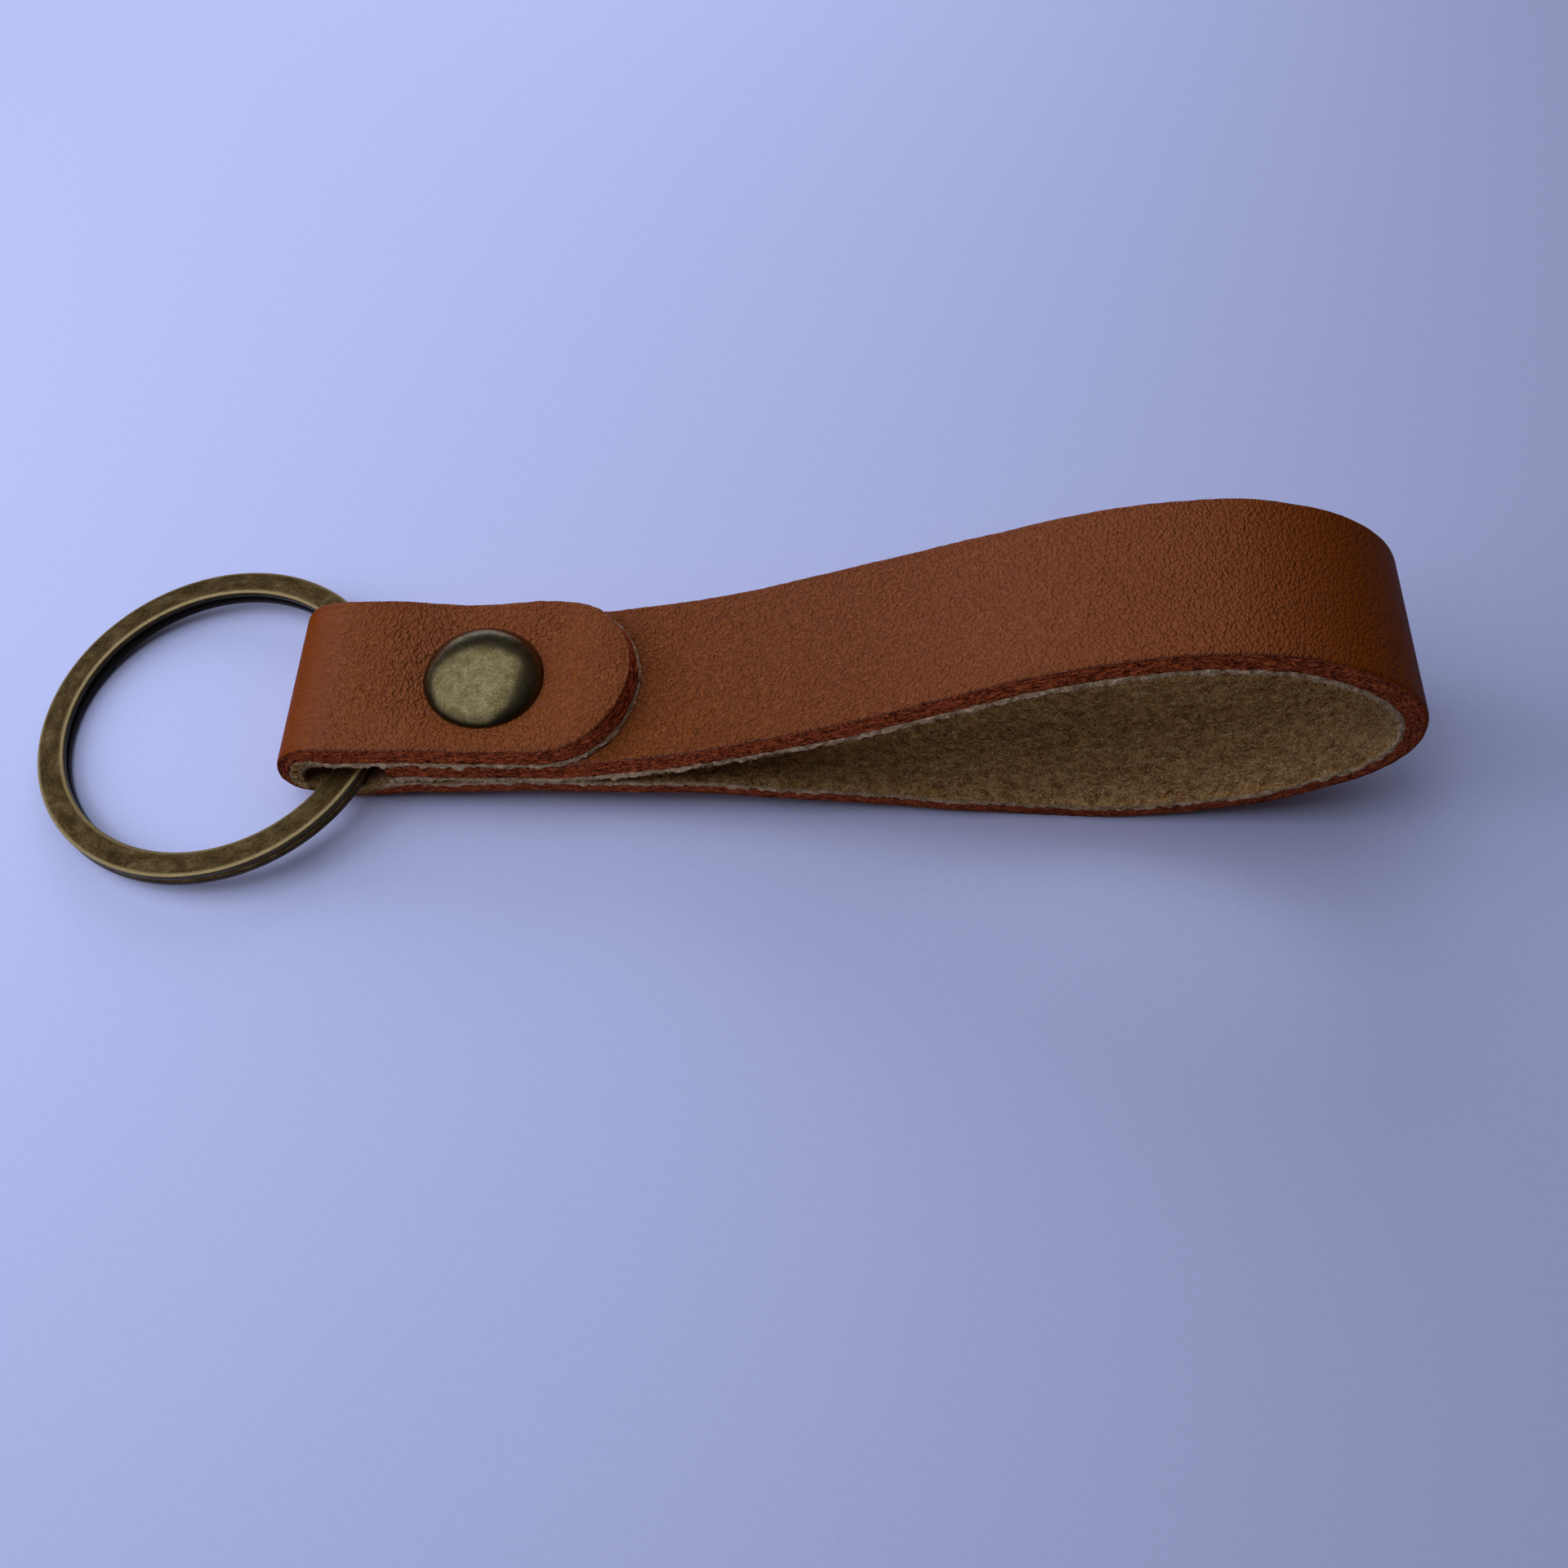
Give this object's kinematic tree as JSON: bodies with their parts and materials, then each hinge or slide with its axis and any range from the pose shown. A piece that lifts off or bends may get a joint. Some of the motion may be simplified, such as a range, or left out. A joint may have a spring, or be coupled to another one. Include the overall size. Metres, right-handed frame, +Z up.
{
  "type": "keychain",
  "caption": "Leather strap keychain: one laminated strap folded round a split ring, opened into a finger loop and closed by a domed double-cap rivet.",
  "frame": {"origin": "rivet axis, on the flat underside of the rivet's back cap, at the height of the table", "axes": "+X along the strap from the rivet towards the closed end of the finger loop, +Z up out of the top cap, Y across the strap"},
  "size_m": [0.1297, 0.035, 0.0282],
  "materials": {
    "grain_leather": "satin embossed grain",
    "leather_core": "matt fibrous cut edge",
    "suede": "matt napped suede",
    "rivet_brass": "antiqued satin",
    "rivet_inner": "plain satin",
    "ring_brass": "antiqued brushed"
  },
  "bodies": {
    "strap": {"strap_grain_face": "grain_leather", "strap_core": "leather_core", "strap_suede_lining": "suede", "rivet_top_cap": "rivet_brass", "rivet_socket": "rivet_inner", "rivet_post": "rivet_inner", "rivet_back_cap": "rivet_brass"},
    "ring": {"split_ring": "ring_brass"}
  },
  "joints": [
    {"name": "ring_spin", "type": "hinge", "parent": "strap", "child": "ring", "pos_m": [-0.0271, -0.0016, 0.00195], "axis": [-0.1115, 0, 0.9938], "continuous": true}
  ]
}
